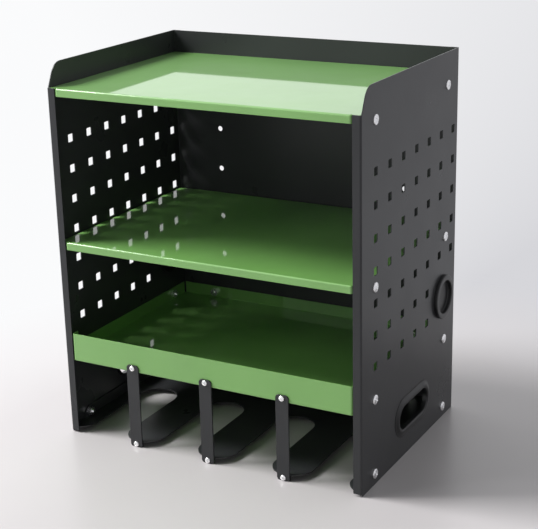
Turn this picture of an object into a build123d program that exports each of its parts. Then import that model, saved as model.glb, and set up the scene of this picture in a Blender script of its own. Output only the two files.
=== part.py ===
"""Cordless tool organizer: a bolted unit of folded sheet steel.

Two perforated side panels and a back carry two shelves, a tray and a slotted tool holder. The tips
of the holder's fingers hang from the tray on three straps. Every sheet is a separate solid, and so
is every screw and nut.

Millimetres, +Z up, front facing -Y. The origin is on the floor, under the middle of the whole unit.
"""
import os
from math import floor, hypot

from build123d import *

# Whole unit, over the side panels and their flanges
width = 408.0
depth = 282.0
height = 473.0

# Sheet thicknesses, folds and the clearances between sheets
panel_sheet = 1.2
back_sheet = 1.2
shelf_sheet = 1.2
holder_sheet = 1.5
strap_sheet = 2.0
fold_radius = 1.0
butt_gap = 0.5
corner_relief = 3.0
fold_lap = 10.0

# Flanges and sloping shoulders of the side panels
flange_width = 10.5
foot_gap = 3.0
shoulder_start = 2.5
shoulder_setback = 15.8
shoulder_radius = 20.0

# Square perforation of the side panels
hole_size = 10.0
hole_corner = 1.5
hole_pitch = 38.0
first_column_from_front = 38.0
last_column_from_rear = 12.0
first_row_from_top = 96.7

# Cable hole and the cap that closes it
cable_from_rear = 41.3
cable_from_floor = 166.5
cable_bore = 42.0
cable_rim_width = 7.0
cable_rim_height = 4.5
cable_rim_round = 1.4
cable_neck_wall = 2.5
cable_neck_length = 7.0
cable_floor_depth = 1.0
cable_floor_sheet = 2.0

# Hand hole and its trim
hand_from_rear = 134.0
hand_from_floor = 51.3
hand_opening_length = 86.0
hand_opening_height = 30.0
hand_rim_width = 10.5
hand_rim_height = 2.6
hand_rim_round = 2.4
hand_neck_wall = 2.0
hand_neck_length = 4.5

# Snap beads that hold the caps and trims behind the sheet
snap_gap = 0.2
bead_height = 1.0
bead_length = 1.6

# Levels: the shelves' top faces, and the undersides of the tray and the holder
top_shelf_drop = 28.5
middle_shelf_level = 255.0
tray_level = 99.4
holder_level = 6.0

# Front lips, and the walls at the sides and rear
lip_height = 9.5
lip_return = 6.0
lip_corner_radius = 3.0
lip_edge_radius = 2.2
shelf_wall_height = 18.0
shelf_wall_setback = 26.0
wall_chamfer = 8.0
tray_front_height = 36.2
tray_return = 8.0
tray_wall_height = 16.8
tray_wall_setback = 14.0
holder_wall_height = 16.0

# Fingers of the slotted holder, and the straps that carry their tips
strap_count = 3
finger_width = 52.0
half_finger_width = 21.8
slot_length = 152.0
strap_width = 16.6
strap_lap = 9.9
strap_corner = 4.0
strap_screw_inset = 3.9
tab_foot_gap = 0.6

# Wall fixing holes of the back panel, measured from its top edge
wall_hole = 7.0
wall_hole_inset = 69.0
wall_hole_drop = 129.4
wall_hole_pitch = 55.0
keyhole_drop = 94.0
keyhole_entry = 14.0
keyhole_rise = 12.0

# Places of the screws
side_screw_inset = 36.0
back_screw_inset = 52.5
shelf_screw_drop = 11.0
tray_screw_rise = 8.7
holder_screw_rise = 8.4

# Large screws and nuts, which hold the sheets
large_thread = 6.0
large_hole = 6.5
large_head = 12.0
large_head_height = 2.6
large_length = 10.0
large_flats = 10.0
large_nut_height = 5.0

# Small screws and nuts, which hold the straps
small_thread = 4.0
small_hole = 4.4
small_head = 7.0
small_head_height = 2.0
small_length = 8.0
small_flats = 7.0
small_nut_height = 3.2

# Shape of every screw and nut
thread_gap = 0.1
head_round = 0.5
recess_reach = 0.6
recess_width = 0.17
recess_depth = 0.5
nut_chamfer = 0.4

# How far a cutter runs past the face that it cuts
over = 2.0

# Planes and spacings that follow from the sizes above
front = -depth / 2
rear = depth / 2
half_width = width / 2
inner_side = half_width - panel_sheet
back_outer = rear - panel_sheet
back_inner = back_outer - back_sheet
lip_half = half_width - flange_width - butt_gap
behind_flange = front + panel_sheet + butt_gap
top_shelf_level = height - top_shelf_drop
cable_y = rear - cable_from_rear
hand_y = rear - hand_from_rear
cable_sheet_hole = cable_bore + 2 * (cable_neck_wall + snap_gap)
slot_width = 2 * (inner_side - half_finger_width) - strap_count * finger_width
slot_width = slot_width / (strap_count + 1)
finger_pitch = finger_width + slot_width
strap_positions = [finger_pitch * (i - (strap_count - 1) / 2) for i in range(strap_count)]
slot_positions = [finger_pitch * (i - strap_count / 2) for i in range(strap_count + 1)]
strap_height = tray_level + strap_lap
strap_top_screw = strap_height - strap_screw_inset
strap_bottom_screw = (tab_foot_gap + holder_level + holder_sheet) / 2
side_screws_y = (front + side_screw_inset, rear - side_screw_inset)
back_screws_x = (-half_width + back_screw_inset, half_width - back_screw_inset)

# Each level's screws: their height above the floor, and the sheet that their nuts press on
levels = {
    "top_shelf": (top_shelf_level - shelf_screw_drop, shelf_sheet),
    "middle_shelf": (middle_shelf_level - shelf_screw_drop, shelf_sheet),
    "tray": (tray_level + tray_screw_rise, shelf_sheet),
    "holder": (holder_level + holder_screw_rise, holder_sheet),
}

# The strap screws stand out in front and the back screws behind, and the origin is midway
front_reach = front - strap_sheet - small_head_height
rear_reach = back_outer + large_head_height
to_origin = Pos(0, -(front_reach + rear_reach) / 2, 0)


def block(x0, x1, y0, y1, z0, z1):
    """A box between two corners."""
    middle = ((x0 + x1) / 2, (y0 + y1) / 2, (z0 + z1) / 2)
    return Pos(*middle) * Box(x1 - x0, y1 - y0, z1 - z0)


def along_x(sketch, x0, x1):
    """A sketch drawn in Y and Z, pushed from x0 to x1."""
    return extrude(Plane.YZ.offset(x0) * sketch, x1 - x0)


def along_y(sketch, y0, y1):
    """A sketch drawn in X and Z, pushed from y0 to y1."""
    return extrude(Plane.XZ.offset(-y1) * sketch, y1 - y0)


def side_hole(y, z, diameter):
    """A round cutter through both side panels and the walls between them."""
    return along_x(Pos(y, z) * Circle(diameter / 2), -half_width - over, half_width + over)


def back_hole(x, z, diameter):
    """A round cutter through the back panel and the wall in front of it."""
    return along_y(Pos(x, z) * Circle(diameter / 2), back_inner - holder_sheet - over, rear + over)


def front_hole(x, z, diameter):
    """A round cutter through a strap and the wall behind it."""
    return along_y(Pos(x, z) * Circle(diameter / 2), front - strap_sheet - over, front + fold_lap)


def bent_strip(points, sheet):
    """A sketch of a folded sheet, whose outer faces follow the points and turn to the right."""
    path = FilletPolyline(*points, radius=fold_radius + sheet)
    return make_face(offset(path, amount=sheet, side=Side.RIGHT))


def folded_deck(sheet, wall, setback):
    """A deck on z = 0 with walls folded down at the sides and rear.

    It reaches the panels behind their front flanges, and its side walls start further back, where
    a chamfer leads in. The rear wall lies against the back panel.
    """
    across = ((-inner_side, -wall), (-inner_side, 0), (inner_side, 0), (inner_side, -wall))
    deck = along_y(bent_strip(across, sheet), behind_flange, back_inner - corner_relief)
    wall_start = front + setback
    bend_end = -sheet - fold_radius
    in_front = Polyline(
        (front, bend_end), (wall_start, bend_end), (wall_start, wall_chamfer - wall),
        (wall_start + wall_chamfer, -wall), (wall_start + wall_chamfer, -wall - over),
        (front, -wall - over), close=True,
    )
    deck -= along_x(make_face(in_front), -half_width, half_width)
    back_bend = ((back_inner - fold_lap, 0), (back_inner, 0), (back_inner, -wall))
    half = inner_side - corner_relief
    return deck + along_x(bent_strip(back_bend, sheet), -half, half)


def rounded_lip(wall, turn_back):
    """The front wall of a deck on z = 0, with ends turned back and rounded corners."""

    def body(inset):
        length = lip_corner_radius + turn_back
        shape = block(
            inset - lip_half, lip_half - inset, front + inset, front + length,
            -wall - 2 * inset, -inset,
        )
        uprights = shape.edges().filter_by(Axis.Z).group_by(Axis.Y)[0]
        shape = fillet(uprights, lip_corner_radius - inset)
        rim = shape.faces().sort_by(Axis.Z)[-1].edges().group_by(Axis.Y)[:-1]
        return fillet([edge for group in rim for edge in group], lip_edge_radius - inset)

    return body(0) - body(shelf_sheet)


def lipped_deck(wall, setback, lip, turn_back):
    """A folded deck whose front lip fills the space between the panels' front flanges."""
    deck = folded_deck(shelf_sheet, wall, setback)
    deck -= block(-lip_half, lip_half, front, front + lip_corner_radius, -wall, over)
    return deck + rounded_lip(lip, turn_back)


def drill_level(piece, name):
    """A placed sheet with the holes of its level's side and back screws."""
    z = levels[name][0]
    holes = [side_hole(y, z, large_hole) for y in side_screws_y]
    holes += [back_hole(x, z, large_hole) for x in back_screws_x]
    return piece - holes


def shelf(name, level):
    """A shelf with a short front lip, its top face at the level given."""
    deck = lipped_deck(shelf_wall_height, shelf_wall_setback, lip_height, lip_return)
    return drill_level(Pos(0, 0, level) * deck, name)


def bottom_tray():
    """The tray: a lipped deck turned over, so that its walls stand up."""
    deck = lipped_deck(tray_wall_height, tray_wall_setback, tray_front_height, tray_return)
    tray = Pos(0, 0, tray_level) * mirror(deck, about=Plane.XY)
    tray -= [front_hole(x, strap_top_screw, small_hole) for x in strap_positions]
    return drill_level(tray, "tray")


def finger_outline():
    """The holder from above: full fingers with round tips, and a half finger at each side."""
    tip = finger_width / 2
    tips_y = front + tip
    area = Pos(0, (tips_y + rear) / 2) * Rectangle(width, rear - tips_y)
    area += [Pos(x, tips_y) * Circle(tip) for x in strap_positions]
    half_y = front + half_finger_width
    for x in (-inner_side, inner_side):
        area += Pos(x, half_y) * Circle(half_finger_width)
        area += Pos(x, (half_y + tips_y) / 2) * Rectangle(2 * half_finger_width, tips_y - half_y)
    slot_end = front + slot_length - slot_width / 2
    slot_start = front - over
    for x in slot_positions:
        area -= Pos(x, (slot_start + slot_end) / 2) * Rectangle(slot_width, slot_end - slot_start)
        area -= Pos(x, slot_end) * Circle(slot_width / 2)
    return area


def tool_holder():
    """The slotted plate that tools hang in, with walls up and a tapped tab at each fingertip."""
    plate = folded_deck(holder_sheet, holder_wall_height, shelf_wall_setback)
    plate += block(-lip_half, lip_half, front, front + fold_lap, -holder_sheet, 0)
    fingers = extrude(Pos(0, 0, -holder_wall_height) * finger_outline(), holder_wall_height + over)
    bend = fold_radius + holder_sheet
    for x in strap_positions:
        fingers -= block(
            x - strap_width / 2, x + strap_width / 2, front, front + bend, -holder_wall_height, over
        )
    holder = Pos(0, 0, holder_level) * mirror(plate & fingers, about=Plane.XY)
    deck_top = holder_level + holder_sheet
    fold = ((front + fold_lap, deck_top), (front, deck_top), (front, tab_foot_gap))
    tab = make_face(offset(
        FilletPolyline(*fold, radius=bend), amount=holder_sheet, side=Side.LEFT
    ))
    for x in strap_positions:
        holder += along_x(tab, x - strap_width / 2, x + strap_width / 2)
        holder -= front_hole(x, strap_bottom_screw, small_thread + 2 * thread_gap)
    return drill_level(holder, "holder")


def strap(x):
    """A flat bar from the tray's front wall down to a fingertip's tab."""
    outline = Pos(x, strap_height / 2) * RectangleRounded(strap_width, strap_height, strap_corner)
    bar = along_y(outline, front - strap_sheet, front)
    return bar - [front_hole(x, z, small_hole) for z in (strap_top_screw, strap_bottom_screw)]


def perforation():
    """A sketch in Y and Z of the square holes, left out where the cable cap or a screw head is."""
    first_y = front + first_column_from_front
    first_z = height - first_row_from_top
    lowest_z = tray_level + tray_wall_height + hole_size
    columns = 1 + floor((rear - last_column_from_rear - first_y) / hole_pitch)
    rows = 1 + floor((first_z - lowest_z) / hole_pitch)
    rims = [(cable_y, cable_from_floor, cable_bore / 2 + cable_rim_width)]
    rims += [(y, z, large_head / 2) for y in side_screws_y for z, _ in levels.values()]
    places = [
        (first_y + column * hole_pitch, first_z - row * hole_pitch)
        for column in range(columns) for row in range(rows)
    ]
    square = RectangleRounded(hole_size, hole_size, hole_corner)
    return Sketch() + [
        Pos(y, z) * square for y, z in places
        if all(hypot(y - rim_y, z - rim_z) > reach + hole_size for rim_y, rim_z, reach in rims)
    ]


def obround(margin):
    """A sketch in Y and Z of the hand hole, grown all round by a margin."""
    slot = SlotOverall(hand_opening_length + 2 * margin, hand_opening_height + 2 * margin)
    return Pos(hand_y, hand_from_floor) * slot


def right_panel():
    """The right side panel: a channel with sloping shoulders at the front of its top."""
    section = bent_strip(
        (
            (half_width - flange_width, rear), (half_width, rear),
            (half_width, front), (half_width - flange_width, front),
        ),
        panel_sheet,
    )
    outline = make_face(Polyline(
        (front, 0), (rear, 0), (rear, height), (front + shoulder_setback, height),
        (front + shoulder_start, top_shelf_level), (front, top_shelf_level), close=True,
    ))
    shoulder = outline.vertices().sort_by_distance((front + shoulder_setback, height))[0]
    outline = fillet(shoulder, shoulder_radius)
    panel = extrude(section, height) & along_x(outline, 0, half_width)
    bend = fold_radius + panel_sheet
    for y0, y1 in ((front, front + bend), (rear - bend, rear)):
        panel -= block(0, half_width, y0, y1, 0, foot_gap)
    cuts = perforation() + obround(hand_neck_wall + snap_gap)
    cuts += Pos(cable_y, cable_from_floor) * Circle(cable_sheet_hole / 2)
    cuts += [Pos(y, z) * Circle(large_hole / 2) for y in side_screws_y for z, _ in levels.values()]
    return panel - along_x(cuts, inner_side - over, half_width + over)


def back_panel():
    """The plain back, held between the decks' rear walls and the panels' rear flanges."""
    half = inner_side - fold_radius - butt_gap
    panel = block(-half, half, back_inner, back_outer, foot_gap, height)
    for name in levels:
        panel = drill_level(panel, name)
    entry_z = height - keyhole_drop
    for x in (-half_width + wall_hole_inset, half_width - wall_hole_inset):
        for z in (height - wall_hole_drop, height - wall_hole_drop - wall_hole_pitch):
            panel -= back_hole(x, z, wall_hole)
        panel -= back_hole(x, entry_z, keyhole_entry)
        panel -= back_hole(x, entry_z + keyhole_rise, wall_hole)
        throat = Pos(x, entry_z + keyhole_rise / 2) * Rectangle(wall_hole, keyhole_rise)
        panel -= along_y(throat, back_inner - over, back_outer + over)
    return panel


def snap_ring(outline, rim, rim_height, rim_round, neck, neck_length):
    """A ring snapped into the right panel.

    The outline gives its bore grown by a margin. A rounded rim stands outside, a neck passes
    through, and a bead behind the sheet is larger than the hole.
    """
    body = along_x(outline(rim), half_width, half_width + rim_height)
    body += along_x(outline(neck), half_width - neck_length, half_width)
    bead_end = inner_side - snap_gap
    body += along_x(outline(neck + snap_gap + bead_height), bead_end - bead_length, bead_end)
    body -= along_x(outline(0), half_width - neck_length, half_width + rim_height)
    return fillet(body.faces().sort_by(Axis.X)[-1].edges(), rim_round)


def cable_cap():
    """The cap of the cable hole: a ring with a thin floor that can be pushed out."""

    def circle(margin):
        return Pos(cable_y, cable_from_floor) * Circle(cable_bore / 2 + margin)

    ring = snap_ring(
        circle, cable_rim_width, cable_rim_height, cable_rim_round, cable_neck_wall,
        cable_neck_length,
    )
    floor_top = half_width - cable_floor_depth
    return ring + along_x(circle(cable_neck_wall / 2), floor_top - cable_floor_sheet, floor_top)


def hand_trim():
    """The ring that lines the hand hole."""
    return snap_ring(
        obround, hand_rim_width, hand_rim_height, hand_rim_round, hand_neck_wall,
        hand_neck_length,
    )


def screw(thread, head, head_height, length):
    """A pan head screw on z = 0, its shank down and a cross recess in its head."""
    cap = extrude(Circle(head / 2), head_height)
    cap = fillet(cap.edges().group_by(Axis.Z)[-1], head_round * head_height)
    shank = extrude(Circle(thread / 2), -length)
    shank = chamfer(shank.edges().group_by(Axis.Z)[0], nut_chamfer)
    arm = Rectangle(recess_reach * head, recess_width * head)
    cross = arm + Rot(0, 0, 90) * arm
    depth_in_head = recess_depth * head_height
    return cap + shank - extrude(Pos(0, 0, head_height - depth_in_head) * cross, depth_in_head)


def nut(thread, flats, nut_height):
    """A hexagon nut from z = 0 down, with a flat on each side of the X axis."""
    hexagon = RegularPolygon(flats / 2, 6, major_radius=False)
    corners = flats / 3 ** 0.5
    turned = extrude(Circle(corners), -nut_height)
    turned = chamfer(turned.edges(), nut_chamfer)
    bore = extrude(Circle(thread / 2 + thread_gap), -nut_height)
    return (extrude(hexagon, -nut_height) & turned) - bore


def on_side(piece, side, x, y, z):
    """A piece turned so that its top faces out of the left (-1) or right (1) side."""
    return Plane(origin=(side * x, y, z), x_dir=(0, 1, 0), z_dir=(side, 0, 0)) * piece


def on_back(piece, x, y, z):
    """A piece turned so that its top faces the rear."""
    return Plane(origin=(x, y, z), x_dir=(1, 0, 0), z_dir=(0, 1, 0)) * piece


def on_front(piece, x, y, z):
    """A piece turned so that its top faces the front."""
    return Plane(origin=(x, y, z), x_dir=(1, 0, 0), z_dir=(0, -1, 0)) * piece


def level_fasteners(name):
    """The side and back screws of one level, with their nuts."""
    z, wall = levels[name]
    bolt = screw(large_thread, large_head, large_head_height, large_length)
    hex_nut = nut(large_thread, large_flats, large_nut_height)
    corners = [(side, y) for side in (-1, 1) for y in side_screws_y]
    nut_x = inner_side - wall
    nut_y = back_inner - wall
    return {
        name + "_side_screws": [on_side(bolt, side, half_width, y, z) for side, y in corners],
        name + "_side_nuts": [on_side(hex_nut, side, nut_x, y, z) for side, y in corners],
        name + "_back_screws": [on_back(bolt, x, back_outer, z) for x in back_screws_x],
        name + "_back_nuts": [on_back(hex_nut, x, nut_y, z) for x in back_screws_x],
    }


def strap_fasteners():
    """The strap screws: the upper ones have nuts in the tray, the lower ones sit in the tabs."""
    bolt = screw(small_thread, small_head, small_head_height, small_length)
    hex_nut = nut(small_thread, small_flats, small_nut_height)
    face = front - strap_sheet
    wall = front + shelf_sheet
    return {
        "strap_top_screws": [on_front(bolt, x, face, strap_top_screw) for x in strap_positions],
        "strap_top_nuts": [on_front(hex_nut, x, wall, strap_top_screw) for x in strap_positions],
        "strap_bottom_screws": [
            on_front(bolt, x, face, strap_bottom_screw) for x in strap_positions
        ],
    }


def mirrored(piece):
    """The same piece on the left side."""
    return mirror(piece, about=Plane.YZ)


def build():
    """Every node of the unit, by name."""
    panel = right_panel()
    cap = cable_cap()
    trim = hand_trim()
    nodes = {
        "right_side_panel": panel,
        "left_side_panel": mirrored(panel),
        "right_cable_cap": cap,
        "left_cable_cap": mirrored(cap),
        "right_hand_trim": trim,
        "left_hand_trim": mirrored(trim),
        "back_panel": back_panel(),
        "top_shelf": shelf("top_shelf", top_shelf_level),
        "middle_shelf": shelf("middle_shelf", middle_shelf_level),
        "bottom_tray": bottom_tray(),
        "tool_holder": tool_holder(),
    }
    for number, x in enumerate(strap_positions, 1):
        nodes[f"strap_{number}"] = strap(x)
    for name in levels:
        nodes.update(level_fasteners(name))
    nodes.update(strap_fasteners())
    return nodes


if __name__ == "__main__":
    os.makedirs("parts", exist_ok=True)
    for node, shape in build().items():
        placed = to_origin * (Part() + shape)
        export_step(placed, f"parts/{node}.step")
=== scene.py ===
"""Dresses the cordless tool organizer: powder coated sheets, zinc screws, moulded caps and trims.

Metres, +Z up, the open front facing -Y.
"""
import math

import bmesh
import bpy
from bpy.props import FloatProperty, FloatVectorProperty, PointerProperty
from mathutils import Euler, Matrix, Vector


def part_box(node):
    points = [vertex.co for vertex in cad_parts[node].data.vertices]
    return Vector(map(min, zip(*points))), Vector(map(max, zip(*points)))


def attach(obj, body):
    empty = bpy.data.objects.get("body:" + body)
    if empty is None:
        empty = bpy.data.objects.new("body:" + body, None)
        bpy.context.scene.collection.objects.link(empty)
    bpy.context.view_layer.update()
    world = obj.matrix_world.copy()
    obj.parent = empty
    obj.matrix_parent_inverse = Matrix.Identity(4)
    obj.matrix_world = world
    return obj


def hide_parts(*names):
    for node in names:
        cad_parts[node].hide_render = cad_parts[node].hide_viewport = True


bl_info = {
    "name": "Cordless Tool Organizer",
    "version": (1, 0, 0),
    "blender": (4, 5, 0),
    "location": "3D View > Sidebar > Organizer",
    "description": "Finishes the sheets, screws, caps and trims of a cordless tool organizer",
    "category": "Object",
}

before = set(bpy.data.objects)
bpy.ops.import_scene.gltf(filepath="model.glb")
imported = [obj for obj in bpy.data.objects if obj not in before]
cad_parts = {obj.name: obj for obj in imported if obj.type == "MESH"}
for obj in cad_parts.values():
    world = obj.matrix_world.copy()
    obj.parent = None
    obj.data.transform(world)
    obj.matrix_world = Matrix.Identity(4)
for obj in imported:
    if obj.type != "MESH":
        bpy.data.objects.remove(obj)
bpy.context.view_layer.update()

BODY = "root"
MM = 0.001
STRAPS = ("strap_1", "strap_2", "strap_3")
BLACK_SHEETS = ("left_side_panel", "right_side_panel", "back_panel", "tool_holder", *STRAPS)
GREEN_SHEETS = ("top_shelf", "middle_shelf", "bottom_tray")
LEVELS = ("top_shelf", "middle_shelf", "tray", "holder")
STRAP_SCREWS = ("strap_top_screws", "strap_bottom_screws")

MERGE_DISTANCE = 0.005 * MM
SMOOTH_ANGLE = math.radians(35)

# The orange peel of a coat: its waves per grain, and the depth of the waves and the grain
PEEL_SHARE = 0.35
PEEL_DEPTH = 0.06 * MM
GRAIN_DEPTH = 0.03 * MM

# A pan head: the ring round its recess and its outline down to the sheet, as shares of its width
# from the axis and of its height
HEAD_RING = (0.33, 0.87)
HEAD_OUTLINE = ((0.41, 0.80), (0.46, 0.70), (0.49, 0.58), (0.5, 0.44), (0.5, 0.05), (0.485, 0))
SCREW_STEPS = 24

# A cross recess: half its span in head widths, its depth in head heights, the width of its arms
# in thirds of its span, and its floor as a share of its mouth
RECESS_REACH = 0.29
RECESS_DEPTH = 0.55
RECESS_ARM = 0.62
RECESS_FLOOR = 0.55

# A thread, in pitches: its depth, the way to its first crest, the way from a crest to the root
# below it, and the length that the last crest leaves at its end
THREAD_DEPTH = 0.6
THREAD_START = 0.75
THREAD_SLOPE = 0.45
THREAD_END = 1.5

# How the recesses are turned, in degrees: the first one of a node, and each next one further
SIDE_TURNS = (17, 64)
BACK_TURNS = (31, 83)
STRAP_TURNS = (23, 49)

# Snap fits: how far behind the panel's face a bead starts, and how deep its slope is
SHEET_GRIP = 1.4 * MM
BEAD_SLOPE = 1.0 * MM

# A cable cap: its roundings, the chamfer at its foot, the thickness of its wall, how far its bead
# stands out, how deep the bead's flat is, and the thickness of its floor
CAP_ROUND = 1.2 * MM
CAP_CHAMFER = 0.3 * MM
CAP_WALL = 2.5 * MM
CAP_BEAD = 1.2 * MM
CAP_BEAD_FLAT = 0.6 * MM
CAP_FLOOR = 2.0 * MM
CAP_STEPS = 72
CAP_FILLET_STEPS = 4
CAP_ROUND_STEPS = 5

# A hand trim: how far its neck and its bead reach from the opening, how deep the bead's flat is,
# where its crest lies in its width, and how high its inner brow and its outer foot are in its
# height
TRIM_NECK = 2.0 * MM
TRIM_BEAD = 3.0 * MM
TRIM_BEAD_FLAT = 0.5 * MM
TRIM_CREST = 0.27
TRIM_BROW = 0.45
TRIM_FOOT = 0.15
TRIM_ROUND_STEPS = 6
TRIM_TURN_STEPS = 24

# The floor, the middle of its fade, and the point that the lamps are aimed at
FLOOR_RADIUS = 30
FLOOR_STEPS = 96
FADE_MIDDLE = (0.15, -0.15)
AIM = Vector((0, 0, 0.25))

# The world's colour as a light, and the parts of a direction between which the world changes: the
# background from left to right, the light from left to right, the front light from low to high,
# and the light from front to back
SKY_COLOUR = (0.97, 0.985, 1.0, 1)
BACKDROP_SIDES = (-0.66, 0.10)
SKY_SIDES = (-0.1, 0.6)
SKY_RISE = (0.15, 0.6)
SKY_DEPTH = (-0.4, 0.1)

SENSOR_WIDTH = 36


class FinishSettings(bpy.types.PropertyGroup):
    """Colours and textures of the coats, the zinc and the plastic."""

    black: FloatVectorProperty(
        name="Black Coat", description="Colour of the panels, holder and straps",
        subtype="COLOR", size=3, min=0, max=1, default=(0.0365, 0.0378, 0.0400),
    )
    green: FloatVectorProperty(
        name="Green Coat", description="Colour of the shelves and the tray",
        subtype="COLOR", size=3, min=0, max=1, default=(0.154, 0.380, 0.074),
    )
    zinc: FloatVectorProperty(
        name="Zinc", description="Colour of the screws and nuts",
        subtype="COLOR", size=3, min=0, max=1, default=(0.96, 0.965, 0.975),
    )
    plastic: FloatVectorProperty(
        name="Plastic", description="Colour of the caps and trims",
        subtype="COLOR", size=3, min=0, max=1, default=(0.0085, 0.009, 0.0095),
    )
    black_roughness: FloatProperty(
        name="Black Roughness", description="Roughness of the black coat",
        subtype="FACTOR", min=0, max=1, default=0.30,
    )
    green_roughness: FloatProperty(
        name="Green Roughness", description="Roughness of the green coat",
        subtype="FACTOR", min=0, max=1, default=0.60,
    )
    black_shine: FloatProperty(
        name="Black Shine", description="Specular level of the black coat",
        subtype="FACTOR", min=0, max=1, default=0.27,
    )
    green_shine: FloatProperty(
        name="Green Shine", description="Specular level of the green coat",
        subtype="FACTOR", min=0, max=1, default=0.80,
    )
    black_peel: FloatProperty(
        name="Black Orange Peel", description="Strength of the black coat's waves and grain",
        subtype="FACTOR", min=0, max=1, default=0.55,
    )
    green_peel: FloatProperty(
        name="Green Orange Peel", description="Strength of the green coat's waves and grain",
        subtype="FACTOR", min=0, max=1, default=0.12,
    )
    green_gloss: FloatProperty(
        name="Green Gloss", description="Weight of the green coat's smooth top layer",
        subtype="FACTOR", min=0, max=1, default=1.0,
    )
    green_haze: FloatProperty(
        name="Green Haze", description="Weight of the green coat's pale sheen",
        subtype="FACTOR", min=0, max=1, default=0.03,
    )
    grain: FloatProperty(
        name="Coat Grain", description="Size of one bump of the powder coat",
        subtype="DISTANCE", unit="LENGTH", min=0.0001, max=0.01, default=0.0009,
    )
    edge: FloatProperty(
        name="Edge Softness", description="Radius that the coat leaves on a cut edge",
        subtype="DISTANCE", unit="LENGTH", min=0, max=0.002, default=0.0004,
    )


class FastenerSettings(bpy.types.PropertyGroup):
    """Sizes of the screws that the frame's boxes don't give."""

    large_thread: FloatProperty(
        name="Large Thread", description="Diameter of the sheet screws' threads",
        subtype="DISTANCE", unit="LENGTH", min=0.001, max=0.02, default=6 * MM,
    )
    large_head_height: FloatProperty(
        name="Large Head Height", description="Height of the sheet screws' heads",
        subtype="DISTANCE", unit="LENGTH", min=0.001, max=0.02, default=2.6 * MM,
    )
    large_pitch: FloatProperty(
        name="Large Pitch", description="Thread pitch of the sheet screws",
        subtype="DISTANCE", unit="LENGTH", min=0.0002, max=0.01, default=1.0 * MM,
    )
    small_thread: FloatProperty(
        name="Small Thread", description="Diameter of the strap screws' threads",
        subtype="DISTANCE", unit="LENGTH", min=0.001, max=0.02, default=4 * MM,
    )
    small_head_height: FloatProperty(
        name="Small Head Height", description="Height of the strap screws' heads",
        subtype="DISTANCE", unit="LENGTH", min=0.001, max=0.02, default=2.0 * MM,
    )
    small_pitch: FloatProperty(
        name="Small Pitch", description="Thread pitch of the strap screws",
        subtype="DISTANCE", unit="LENGTH", min=0.0002, max=0.01, default=0.7 * MM,
    )


class TrimSettings(bpy.types.PropertyGroup):
    """Sections of the cable caps and the hand hole trims."""

    cap_bore: FloatProperty(
        name="Cap Bore", description="Inner diameter of the cable cap's ring",
        subtype="DISTANCE", unit="LENGTH", min=0.01, max=0.1, default=42 * MM,
    )
    cap_height: FloatProperty(
        name="Cap Height", description="How far the cap's ring stands off the panel",
        subtype="DISTANCE", unit="LENGTH", min=0.001, max=0.02, default=4.5 * MM,
    )
    cap_floor_depth: FloatProperty(
        name="Cap Floor Depth", description="How far the cap's floor lies below the panel's face",
        subtype="DISTANCE", unit="LENGTH", min=0, max=0.01, default=1.0 * MM,
    )
    trim_width: FloatProperty(
        name="Trim Width", description="Width of the hand hole trim's rim",
        subtype="DISTANCE", unit="LENGTH", min=0.001, max=0.03, default=10.5 * MM,
    )
    trim_height: FloatProperty(
        name="Trim Height", description="How far the trim's rim stands off the panel",
        subtype="DISTANCE", unit="LENGTH", min=0.0005, max=0.02, default=2.6 * MM,
    )


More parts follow.
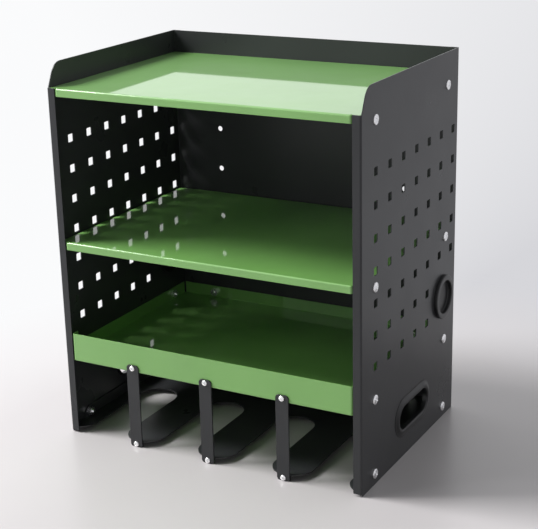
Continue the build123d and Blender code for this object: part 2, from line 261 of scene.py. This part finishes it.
class StageSettings(bpy.types.PropertyGroup):
    """The floor, the lamps and the camera."""

    floor: FloatVectorProperty(
        name="Floor", description="Colour of the floor near the object",
        subtype="COLOR", size=3, min=0, max=1, default=(0.605, 0.577, 0.583),
    )
    sky: FloatVectorProperty(
        name="Sky Light", size=3, min=0, max=10, default=(0.61, 0.70, 0.50),
        description="Strength of the world's light: in front, then behind on each side",
    )
    key: FloatProperty(
        name="Key", description="Power of the main lamp, high on the left", unit="POWER",
        min=0, max=1000, default=175,
    )
    key_side: FloatProperty(
        name="Key Side", description="Side length of the main lamp",
        subtype="DISTANCE", unit="LENGTH", min=0.1, max=10, default=1.3,
    )
    key_place: FloatVectorProperty(
        name="Key Place", description="Where the main lamp hangs", subtype="TRANSLATION",
        size=3, default=(-2.54, -0.93, 2.77),
    )
    fill: FloatProperty(
        name="Fill", description="Power of the weak lamp, lower on the left in front",
        unit="POWER", min=0, max=1000, default=26,
    )
    fill_side: FloatProperty(
        name="Fill Side", description="Side length of the weak lamp",
        subtype="DISTANCE", unit="LENGTH", min=0.1, max=10, default=1.2,
    )
    fill_place: FloatVectorProperty(
        name="Fill Place", description="Where the weak lamp hangs", subtype="TRANSLATION",
        size=3, default=(-2.6, -2.2, 1.6),
    )
    rear: FloatProperty(
        name="Rear", description="Power of the broad lamp behind, for the shelves' gloss",
        unit="POWER", min=0, max=1000, default=4.5,
    )
    rear_side: FloatProperty(
        name="Rear Side", description="Side length of the lamp behind",
        subtype="DISTANCE", unit="LENGTH", min=0.1, max=10, default=2.5,
    )
    rear_place: FloatVectorProperty(
        name="Rear Place", description="Where the lamp behind hangs", subtype="TRANSLATION",
        size=3, default=(-1.57, 2.8, 1.04),
    )
    fade: FloatVectorProperty(
        name="Floor Fade", description="Distances at which the floor's fade starts and ends",
        size=2, unit="LENGTH", min=0, max=100, default=(0.45, 0.78),
    )
    bright_side: FloatVectorProperty(
        name="Bright Side", description="Background colour on the left", subtype="COLOR",
        size=3, min=0, max=1, default=(0.96, 0.965, 0.975),
    )
    dim_side: FloatVectorProperty(
        name="Dim Side", description="Background colour on the right", subtype="COLOR",
        size=3, min=0, max=1, default=(0.67, 0.67, 0.70),
    )
    lens: FloatProperty(
        name="Lens", description="Focal length in millimetres on a 36 mm wide sensor",
        subtype="DISTANCE_CAMERA", unit="CAMERA", min=10, max=300, default=90.51,
    )
    camera_place: FloatVectorProperty(
        name="Camera Place", description="Where the camera stands", subtype="TRANSLATION",
        size=3, default=(0.78749, -1.39964, 0.74280),
    )
    camera_turn: FloatVectorProperty(
        name="Camera Turn", description="How the camera is turned", subtype="EULER",
        size=3, default=(math.radians(71.665), math.radians(1.305), math.radians(28.531)),
    )


# Materials


class Nodes:
    """A node tree, and short calls for its nodes."""

    def __init__(self, owner, coordinates):
        owner.use_nodes = True
        self.tree = owner.node_tree
        self.place = self.node("ShaderNodeTexCoord", {}).outputs[coordinates]

    def node(self, kind, inputs, **settings):
        """A new node with its inputs and settings."""
        made = self.tree.nodes.new(kind)
        for name, value in settings.items():
            setattr(made, name, value)
        self.feed(made, inputs)
        return made

    def feed(self, node, inputs):
        """A node's inputs, by name or number: each a value or another node's output."""
        for name, value in inputs.items():
            if isinstance(value, bpy.types.NodeSocket):
                self.tree.links.new(value, node.inputs[name])
            else:
                node.inputs[name].default_value = value

    def combined(self, operation, first, second):
        """The result of one operation on two values."""
        made = self.node("ShaderNodeMath", {0: first, 1: second}, operation=operation)
        return made.outputs["Value"]

    def noise(self, scale, detail=2.0):
        """A noise field with so many cells in a metre, from 0 to 1."""
        made = self.node(
            "ShaderNodeTexNoise", {"Vector": self.place, "Scale": scale, "Detail": detail}
        )
        return made.outputs["Fac"]

    def spread(self, value, low, high, start=0.3, end=0.7):
        """A value from start to end, mapped to low to high."""
        made = self.node("ShaderNodeMapRange", {
            "Value": value, "From Min": start, "From Max": end, "To Min": low, "To Max": high,
        })
        return made.outputs["Result"]

    def mixed_colour(self, value, first, second):
        """A colour between two, by a factor."""
        ends = {"A": (*first, 1), "B": (*second, 1)}
        made = self.node("ShaderNodeMix", {"Factor": value, **ends}, data_type="RGBA")
        return made.outputs["Result"]

    def surface(self, value, first, second, output):
        """A shader between two, by a factor, as the surface of the tree's output node."""
        made = self.node("ShaderNodeMixShader", {"Fac": value, 1: first, 2: second})
        self.feed(self.tree.nodes[output], {"Surface": made.outputs["Shader"]})


class Shader(Nodes):
    """A material with one Principled shader, placed by object coordinates."""

    def __init__(self, name, roughness, metallic=0.0):
        self.material = bpy.data.materials.new(name)
        super().__init__(self.material, "Object")
        self.principled = self.tree.nodes["Principled BSDF"]
        self.shade({"Roughness": roughness, "Metallic": metallic})

    def shade(self, inputs):
        """The shader's inputs, by name."""
        self.feed(self.principled, inputs)

    def mottle(self, colour, dark, light, scale, detail=2.0):
        """The base colour, in soft spots between a darker and a lighter tint."""
        spots = self.spread(self.noise(scale, detail), 0, 1)
        self.shade({
            "Base Color": self.mixed_colour(spots, tinted(colour, dark), tinted(colour, light))
        })

    def clouds(self, smooth, rough, scale, detail=2.0):
        """The roughness, in clouds between two values."""
        self.shade({"Roughness": self.spread(self.noise(scale, detail), smooth, rough)})

    def bump(self, height, distance, strength, below):
        """A bump of the height field, on top of another normal."""
        made = self.node("ShaderNodeBump", {
            "Height": height, "Distance": distance, "Strength": strength, "Normal": below,
        })
        return made.outputs["Normal"]

    def soft_edges(self, radius):
        """A normal that is rounded at the edges."""
        return self.node("ShaderNodeBevel", {"Radius": radius}, samples=6).outputs["Normal"]


def tinted(colour, factor):
    """A colour made lighter or darker."""
    return tuple(min(1.0, channel * factor) for channel in colour)


def powder_coat(name, colour, roughness, shine, peel, finish, gloss=0.0, haze=0.0):
    """A powder coat: fine grain, the slow waves of orange peel, and softened sheet edges."""
    coat = Shader(name, roughness)
    coat.shade({
        "Specular IOR Level": shine, "Sheen Weight": haze, "Sheen Roughness": 0.5,
        "Coat Weight": gloss, "Coat Roughness": 0.04, "Coat IOR": 1.5,
    })
    coat.mottle(colour, dark=0.94, light=1.06, scale=9.0, detail=3.0)
    coat.clouds(smooth=roughness * 0.9, rough=roughness * 1.12, scale=14.0, detail=4.0)
    edge = coat.soft_edges(finish.edge)
    waves = coat.bump(coat.noise(PEEL_SHARE / finish.grain), PEEL_DEPTH, peel, edge)
    grain = coat.bump(coat.noise(1 / finish.grain, detail=3.0), GRAIN_DEPTH, peel, waves)
    coat.shade({"Normal": grain})
    return coat.material


def zinc_plate(name, colour, finish):
    """Bright zinc: a metal with faint spots, clouds in its gloss and a fine grain."""
    zinc = Shader(name, roughness=0.24, metallic=1.0)
    zinc.mottle(colour, dark=0.88, light=1.05, scale=420.0)
    zinc.clouds(smooth=0.17, rough=0.33, scale=900.0)
    edge = zinc.soft_edges(finish.edge / 2)
    grain = zinc.bump(zinc.noise(scale=2600.0), distance=0.02 * MM, strength=0.35, below=edge)
    zinc.shade({"Normal": grain})
    return zinc.material


def moulded_plastic(name, colour, finish):
    """Moulded plastic with a fine spark-eroded texture."""
    plastic = Shader(name, roughness=0.38)
    plastic.mottle(colour, dark=0.9, light=1.1, scale=60.0)
    plastic.clouds(smooth=0.34, rough=0.44, scale=45.0, detail=3.0)
    edge = plastic.soft_edges(finish.edge)
    grain = plastic.noise(scale=3200.0, detail=3.0)
    texture = plastic.bump(grain, distance=0.03 * MM, strength=0.5, below=edge)
    plastic.shade({"Normal": texture})
    return plastic.material


def dress(node, material):
    """A frame node with its final material."""
    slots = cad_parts[node].data.materials
    slots.clear()
    slots.append(material)


# Mesh helpers


def arc(centre, radius, start, end, steps):
    """Points on an arc in a plane, with angles in degrees."""
    turns = [math.radians(start + (end - start) * i / steps) for i in range(steps + 1)]
    return [(centre[0] + radius * math.cos(t), centre[1] + radius * math.sin(t)) for t in turns]


def turned(bm, profile, steps):
    """A profile of (radius, height) points turned round the Z axis."""
    verts = [bm.verts.new((radius, 0, height)) for radius, height in profile]
    edges = [bm.edges.new(pair) for pair in zip(verts, verts[1:])]
    bmesh.ops.spin(
        bm, geom=verts + edges, cent=(0, 0, 0), axis=(0, 0, 1), angle=2 * math.pi, steps=steps,
        use_merge=True,
    )


def extruded(bm, edges, move):
    """Edges extruded by a move, as the new vertices and edges at its far end."""
    made = bmesh.ops.extrude_edge_only(bm, edges=edges)["geom"]
    verts = [item for item in made if isinstance(item, bmesh.types.BMVert)]
    bmesh.ops.translate(bm, vec=move, verts=verts)
    return verts, [
        item for item in made
        if isinstance(item, bmesh.types.BMEdge) and all(vert in verts for vert in item.verts)
    ]


def edges_at(verts):
    """All edges that meet any of the vertices."""
    return {edge for vert in verts for edge in vert.link_edges}


def copied(target, source, matrix):
    """A copy of one bmesh added to another, moved by a matrix."""
    moved = source.copy()
    bmesh.ops.transform(moved, matrix=matrix, verts=moved.verts)
    mesh = bpy.data.meshes.new("moved")
    moved.to_mesh(mesh)
    moved.free()
    target.from_mesh(mesh)
    bpy.data.meshes.remove(mesh)


def add_piece(name, bm, material, slot, *nodes):
    """A finished piece that stands for nodes of the frame."""
    bmesh.ops.remove_doubles(bm, verts=bm.verts, dist=MERGE_DISTANCE)
    bmesh.ops.recalc_face_normals(bm, faces=bm.faces)
    mesh = bpy.data.meshes.new(name)
    bm.to_mesh(mesh)
    bm.free()
    mesh.shade_smooth()
    mesh.set_sharp_from_angle(angle=SMOOTH_ANGLE)
    mesh.materials.append(material)
    piece = bpy.data.objects.new(name, mesh)
    bpy.context.scene.collection.objects.link(piece)
    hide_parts(*nodes)
    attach(piece, BODY)


# Pieces


def cross_recess(bm, reach, top, depth):
    """The tapered walls and floor of a cross recess. Gives the edges of its mouth."""
    cross = bmesh.ops.create_grid(bm, x_segments=3, y_segments=3, size=reach)["verts"]
    half = reach / 2
    corners = {
        face for vert in cross for face in vert.link_faces
        if all(abs(value) > half for value in face.calc_center_median().xy)
    }
    bmesh.ops.delete(bm, geom=list(corners), context="FACES")
    cross = [vert for vert in cross if vert.is_valid]
    for axis, narrow in ((0, (RECESS_ARM, 1, 1)), (1, (1, RECESS_ARM, 1))):
        inner = [vert for vert in cross if abs(vert.co[axis]) < half]
        bmesh.ops.scale(bm, vec=narrow, verts=inner)
    bmesh.ops.translate(bm, vec=(0, 0, top), verts=cross)
    faces = {face for vert in cross for face in vert.link_faces}
    mouth = [edge for edge in edges_at(cross) if edge.is_boundary]
    bmesh.ops.delete(bm, geom=list(faces), context="FACES_ONLY")
    inside = [edge for edge in edges_at(cross) if edge not in mouth]
    bmesh.ops.delete(bm, geom=inside, context="EDGES")
    low, rim = extruded(bm, mouth, (0, 0, -depth))
    bmesh.ops.scale(bm, vec=(RECESS_FLOOR, RECESS_FLOOR, 1), verts=low)
    bmesh.ops.contextual_create(bm, geom=rim)
    return mouth


def pan_screw(head, head_height, thread, pitch, length):
    """A pan head screw on the Z axis: its head above the origin and its thread below."""
    bm = bmesh.new()
    crest = thread / 2
    root = crest - THREAD_DEPTH * pitch
    profile = [(out * head, up * head_height) for out, up in (HEAD_RING, *HEAD_OUTLINE)]
    profile.append((crest, 0))
    for turn in range(int((length - THREAD_END * pitch) / pitch)):
        start = -(turn + THREAD_START) * pitch
        profile += [(crest, start), (root, start - THREAD_SLOPE * pitch)]
    profile += [(crest, pitch - length), (root, -length), (0, -length)]
    turned(bm, profile, SCREW_STEPS)
    middle = HEAD_RING[1] * head_height
    rim = [
        edge for edge in bm.edges if edge.is_boundary
        and all(abs(vert.co.z - middle) < MERGE_DISTANCE for vert in edge.verts)
    ]
    mouth = cross_recess(bm, RECESS_REACH * head, head_height, RECESS_DEPTH * head_height)
    bmesh.ops.bridge_loops(bm, edges=rim + mouth)
    return bm


def snap_fit(node, height):
    """A snap-in piece's box, the panel's face that it lies on, and its inner end from there."""
    low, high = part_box(node)
    near, far = sorted((abs(low.x), abs(high.x)))
    face = far - height
    return low, high, face, near - face


def add_snap_fit(node, bm, turn, place, plastic):
    """A snap-in piece, turned from its own axes to its panel and moved to its place."""
    bmesh.ops.transform(bm, matrix=Matrix.Translation(place) @ turn, verts=bm.verts)
    add_piece("moulded_" + node, bm, plastic, "black_plastic", node)


class ORGANIZER_OT_coats(bpy.types.Operator):
    """Powder coats the sheets of the frame."""

    bl_idname = "organizer.coats"
    bl_label = "Powder Coats"

    def execute(self, context):
        finish = context.scene.organizer_finish
        black = powder_coat(
            "black_powder_coat", finish.black, finish.black_roughness, finish.black_shine,
            finish.black_peel, finish,
        )
        green = powder_coat(
            "green_powder_coat", finish.green, finish.green_roughness, finish.green_shine,
            finish.green_peel, finish, gloss=finish.green_gloss, haze=finish.green_haze,
        )
        for node in BLACK_SHEETS:
            dress(node, black)
        for node in GREEN_SHEETS:
            dress(node, green)
        return {"FINISHED"}


class ORGANIZER_OT_screws(bpy.types.Operator):
    """Builds the screws and plates the nuts."""

    bl_idname = "organizer.screws"
    bl_label = "Screws and Nuts"

    def execute(self, context):
        finish = context.scene.organizer_finish
        sizes = context.scene.organizer_fasteners
        zinc = zinc_plate("bright_zinc", finish.zinc, finish)
        for level in LEVELS:
            self.side_screws(level, sizes, zinc)
            self.back_screws(level, sizes, zinc)
            dress(level + "_side_nuts", zinc)
            dress(level + "_back_nuts", zinc)
        for node in STRAP_SCREWS:
            self.strap_screws(node, sizes, zinc)
        dress("strap_top_nuts", zinc)
        return {"FINISHED"}

    def side_screws(self, level, sizes, zinc):
        """The four screws of a level that go through the side panels."""
        node = level + "_side_screws"
        low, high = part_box(node)
        head = high.z - low.z
        reach = high.x - sizes.large_head_height
        places = [
            Matrix.Translation((side * reach, y, (low.z + high.z) / 2))
            @ Matrix.Rotation(side * math.pi / 2, 4, "Y")
            for side in (-1, 1) for y in (low.y + head / 2, high.y - head / 2)
        ]
        screw = self.sheet_screw(level, head, sizes)
        self.add_screws("pan_screws_" + level + "_sides", screw, places, SIDE_TURNS, zinc, node)

    def back_screws(self, level, sizes, zinc):
        """The two screws of a level that go through the back."""
        node = level + "_back_screws"
        low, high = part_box(node)
        head = high.z - low.z
        places = [
            Matrix.Translation((x, high.y - sizes.large_head_height, (low.z + high.z) / 2))
            @ Matrix.Rotation(-math.pi / 2, 4, "X")
            for x in (low.x + head / 2, high.x - head / 2)
        ]
        screw = self.sheet_screw(level, head, sizes)
        self.add_screws("pan_screws_" + level + "_back", screw, places, BACK_TURNS, zinc, node)

    def strap_screws(self, node, sizes, zinc):
        """Three small screws at one end of the straps."""
        low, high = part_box(node)
        height = sizes.small_head_height
        shank = high.y - low.y - height
        screw = pan_screw(high.z - low.z, height, sizes.small_thread, sizes.small_pitch, shank)
        places = []
        for strap in STRAPS:
            left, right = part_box(strap)
            place = ((left.x + right.x) / 2, low.y + height, (low.z + high.z) / 2)
            places.append(Matrix.Translation(place) @ Matrix.Rotation(math.pi / 2, 4, "X"))
        self.add_screws("pan_" + node, screw, places, STRAP_TURNS, zinc, node)

    def sheet_screw(self, level, head, sizes):
        """A level's sheet screw. The box of the level's back screws gives its shank's length."""
        low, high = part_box(level + "_back_screws")
        height = sizes.large_head_height
        shank = high.y - low.y - height
        return pan_screw(head, height, sizes.large_thread, sizes.large_pitch, shank)

    def add_screws(self, name, screw, places, turns, zinc, node):
        """One piece of like screws, each recess turned further than the one before."""
        bm = bmesh.new()
        first, further = turns
        for number, place in enumerate(places):
            spin = Matrix.Rotation(math.radians(first + further * number), 4, "Z")
            copied(bm, screw, place @ spin)
        screw.free()
        add_piece(name, bm, zinc, "zinc", node)


class ORGANIZER_OT_cable_caps(bpy.types.Operator):
    """Builds the caps that close the cable holes."""

    bl_idname = "organizer.cable_caps"
    bl_label = "Cable Caps"

    def execute(self, context):
        finish = context.scene.organizer_finish
        sizes = context.scene.organizer_trims
        plastic = moulded_plastic("cap_plastic", finish.plastic, finish)
        for side, node in ((-1, "left_cable_cap"), (1, "right_cable_cap")):
            low, high, face, inner_end = snap_fit(node, sizes.cap_height)
            bm = bmesh.new()
            turned(bm, self.section(sizes, (high.z - low.z) / 2, inner_end), CAP_STEPS)
            centre = (low + high) / 2
            turn = Matrix.Rotation(side * math.pi / 2, 4, "Y")
            add_snap_fit(node, bm, turn, (side * face, centre.y, centre.z), plastic)
        return {"FINISHED"}

    def section(self, sizes, rim, inner_end):
        """The cap's section from the middle of its floor, out over the ring and back inside."""
        bore, top, floor = sizes.cap_bore / 2, sizes.cap_height, -sizes.cap_floor_depth
        neck = bore + CAP_WALL
        bead = neck + CAP_BEAD
        flat = -SHEET_GRIP - CAP_BEAD_FLAT
        under = floor - CAP_FLOOR
        shoulder = top - CAP_ROUND
        section = [(0, floor)]
        section += arc((bore - CAP_ROUND, floor + CAP_ROUND), CAP_ROUND, -90, 0, CAP_FILLET_STEPS)
        section += arc((bore + CAP_ROUND, shoulder), CAP_ROUND, 180, 90, CAP_ROUND_STEPS)
        section += arc((rim - CAP_ROUND, shoulder), CAP_ROUND, 90, 0, CAP_ROUND_STEPS)
        section += [(rim, CAP_CHAMFER), (rim - CAP_CHAMFER, 0), (neck, 0), (neck, -SHEET_GRIP)]
        section += [(bead, -SHEET_GRIP), (bead, flat), (neck, flat - BEAD_SLOPE)]
        section += [(neck, inner_end), (bore, inner_end), (bore, under), (0, under)]
        return section


class ORGANIZER_OT_hand_trims(bpy.types.Operator):
    """Builds the trims of the hand holes."""

    bl_idname = "organizer.hand_trims"
    bl_label = "Hand Trims"

    def execute(self, context):
        finish = context.scene.organizer_finish
        sizes = context.scene.organizer_trims
        plastic = moulded_plastic("trim_plastic", finish.plastic, finish)
        for side, node in ((-1, "left_hand_trim"), (1, "right_hand_trim")):
            low, high, face, inner_end = snap_fit(node, sizes.trim_height)
            radius = (high.z - low.z) / 2 - sizes.trim_width
            straight = (high.y - low.y) - (high.z - low.z)
            bm = self.ring(self.section(sizes, inner_end), radius, straight)
            centre = (low + high) / 2
            turn = Matrix.Scale(side, 4, (1, 0, 0))
            add_snap_fit(node, bm, turn, (side * face, centre.y, centre.z), plastic)
        return {"FINISHED"}

    def section(self, sizes, inner_end):
        """The trim's closed section, as (distance from the opening, height off the panel)."""
        width, height = sizes.trim_width, sizes.trim_height
        crest, brow, foot = TRIM_CREST * width, TRIM_BROW * height, TRIM_FOOT * height
        flat = -SHEET_GRIP - TRIM_BEAD_FLAT
        quarter = [math.pi / 2 * i / TRIM_ROUND_STEPS for i in range(TRIM_ROUND_STEPS + 1)]
        inside = [
            (crest * (1 - math.cos(t)), brow + (height - brow) * math.sin(t)) for t in quarter
        ]
        outside = [
            (crest + (width - crest) * t / math.pi, foot + (height - foot) * (1 + math.cos(t)) / 2)
            for t in (2 * t for t in quarter[1:])
        ]
        return [(0, inner_end), *inside, *outside, (width, 0), (TRIM_NECK, 0)] + [
            (TRIM_NECK, -SHEET_GRIP), (TRIM_BEAD, -SHEET_GRIP), (TRIM_BEAD, flat),
            (TRIM_NECK, flat - BEAD_SLOPE), (TRIM_NECK, inner_end),
        ]

    def ring(self, section, radius, straight):
        """The section carried round an obround in the YZ plane: two half turns and two runs."""
        bm = bmesh.new()
        verts = [bm.verts.new((x, straight / 2, radius + out)) for out, x in section]
        edges = [bm.edges.new(pair) for pair in zip(verts, verts[1:] + verts[:1])]
        for end in (1, -1):
            last = bmesh.ops.spin(
                bm, geom=verts + edges, cent=(0, end * straight / 2, 0), axis=(1, 0, 0),
                angle=-math.pi, steps=TRIM_TURN_STEPS,
            )["geom_last"]
            edges = [item for item in last if isinstance(item, bmesh.types.BMEdge)]
            verts, edges = extruded(bm, edges, (0, -end * straight, 0))
        return bm


class ORGANIZER_OT_stage(bpy.types.Operator):
    """Lays the floor and sets the world, the lamps and the camera."""

    bl_idname = "organizer.stage"
    bl_label = "Stage"

    def execute(self, context):
        stage = context.scene.organizer_stage
        self.floor(stage)
        self.world(context.scene, stage)
        self.lamp("key_lamp", stage.key, stage.key_side, stage.key_place)
        self.lamp("fill_lamp", stage.fill, stage.fill_side, stage.fill_place)
        self.lamp("rear_lamp", stage.rear, stage.rear_side, stage.rear_place)
        self.camera(context.scene, stage)
        context.scene.view_settings.view_transform = "Standard"
        return {"FINISHED"}

    def seen_directly(self, nodes):
        """A factor that is 1 for what the camera, a gloss or a glass sees."""
        path = nodes.node("ShaderNodeLightPath", {})
        total = path.outputs["Is Camera Ray"]
        for ray in ("Is Glossy Ray", "Is Transmission Ray"):
            total = nodes.combined("MAXIMUM", total, path.outputs[ray])
        return total

    def direction(self, nodes, axis):
        """One part of the direction from the middle of the stage."""
        unit = nodes.node("ShaderNodeVectorMath", {0: nodes.place}, operation="NORMALIZE")
        parts = nodes.node("ShaderNodeSeparateXYZ", {"Vector": unit.outputs["Vector"]})
        return parts.outputs[axis]

    def backdrop_colour(self, nodes, stage):
        """The background's colour, from the bright left to the dim right, by direction."""
        turn = nodes.spread(self.direction(nodes, "X"), 0, 1, *BACKDROP_SIDES)
        return nodes.mixed_colour(turn, stage.bright_side, stage.dim_side)

    def floor(self, stage):
        """A pale satin floor that fades into the background away from the object."""
        bm = bmesh.new()
        bmesh.ops.create_circle(bm, cap_ends=True, segments=FLOOR_STEPS, radius=FLOOR_RADIUS)
        mesh = bpy.data.meshes.new("floor")
        bm.to_mesh(mesh)
        bm.free()
        floor = bpy.data.objects.new("floor", mesh)
        bpy.context.scene.collection.objects.link(floor)
        pale = Shader("floor_finish", roughness=0.32)
        pale.mottle(stage.floor, dark=0.97, light=1.02, scale=3.0, detail=5.0)
        centred = pale.node("ShaderNodeMapping", {
            "Vector": pale.place, "Location": (-FADE_MIDDLE[0], -FADE_MIDDLE[1], 0),
        }).outputs["Vector"]
        distance = pale.node("ShaderNodeVectorMath", {0: centred}, operation="LENGTH")
        far = pale.spread(distance.outputs["Value"], 0, 1, *stage.fade)
        faded = pale.combined("MULTIPLY", far, self.seen_directly(pale))
        backdrop = pale.node("ShaderNodeEmission", {"Color": self.backdrop_colour(pale, stage)})
        pale.surface(
            faded, pale.principled.outputs["BSDF"], backdrop.outputs["Emission"], "Material Output"
        )
        mesh.materials.append(pale.material)

    def world(self, scene, stage):
        """A world that shows the plain background and lights the object softly."""
        scene.world = bpy.data.worlds.new("studio")
        sky = Nodes(scene.world, "Generated")
        front, left, right = stage.sky
        ahead = sky.spread(self.direction(sky, "Z"), front, 0, *SKY_RISE)
        behind = sky.spread(self.direction(sky, "X"), left, right, *SKY_SIDES)
        strength = sky.spread(self.direction(sky, "Y"), ahead, behind, *SKY_DEPTH)
        light = sky.tree.nodes["Background"]
        sky.feed(light, {"Color": SKY_COLOUR, "Strength": strength})
        backdrop = sky.node("ShaderNodeBackground", {"Color": self.backdrop_colour(sky, stage)})
        sky.surface(
            self.seen_directly(sky), light.outputs["Background"], backdrop.outputs["Background"],
            "World Output",
        )

    def lamp(self, name, power, side, place):
        """A square soft lamp that is aimed at the object's middle."""
        lamp = bpy.data.lights.new(name, "AREA")
        lamp.size = side
        lamp.energy = power
        holder = bpy.data.objects.new(name, lamp)
        holder.location = place
        aim = AIM - Vector(place)
        holder.rotation_euler = aim.to_track_quat("-Z", "Y").to_euler()
        bpy.context.scene.collection.objects.link(holder)

    def camera(self, scene, stage):
        """The camera at the photographed view."""
        data = bpy.data.cameras.new("camera")
        data.sensor_fit = "HORIZONTAL"
        data.sensor_width = SENSOR_WIDTH
        data.lens = stage.lens
        camera = bpy.data.objects.new("camera", data)
        camera.location = stage.camera_place
        camera.rotation_euler = Euler(stage.camera_turn, "XYZ")
        scene.collection.objects.link(camera)
        scene.camera = camera


class ORGANIZER_PT_panel(bpy.types.Panel):
    """Lists the operators in the sidebar."""

    bl_label = "Cordless Tool Organizer"
    bl_idname = "ORGANIZER_PT_panel"
    bl_space_type = "VIEW_3D"
    bl_region_type = "UI"
    bl_category = "Organizer"

    def draw(self, context):
        for operator in OPERATORS:
            self.layout.operator(operator.bl_idname)


SETTINGS = {
    "organizer_finish": FinishSettings,
    "organizer_fasteners": FastenerSettings,
    "organizer_trims": TrimSettings,
    "organizer_stage": StageSettings,
}
OPERATORS = (
    ORGANIZER_OT_coats, ORGANIZER_OT_screws, ORGANIZER_OT_cable_caps, ORGANIZER_OT_hand_trims,
    ORGANIZER_OT_stage,
)
CLASSES = (*SETTINGS.values(), *OPERATORS, ORGANIZER_PT_panel)


def register():
    for cls in CLASSES:
        bpy.utils.register_class(cls)
    for name, cls in SETTINGS.items():
        setattr(bpy.types.Scene, name, PointerProperty(type=cls))


def unregister():
    for name in SETTINGS:
        delattr(bpy.types.Scene, name)
    for cls in reversed(CLASSES):
        bpy.utils.unregister_class(cls)


def main():
    register()
    bpy.ops.organizer.coats()
    bpy.ops.organizer.screws()
    bpy.ops.organizer.cable_caps()
    bpy.ops.organizer.hand_trims()
    bpy.ops.organizer.stage()


if __name__ == "__main__":
    main()
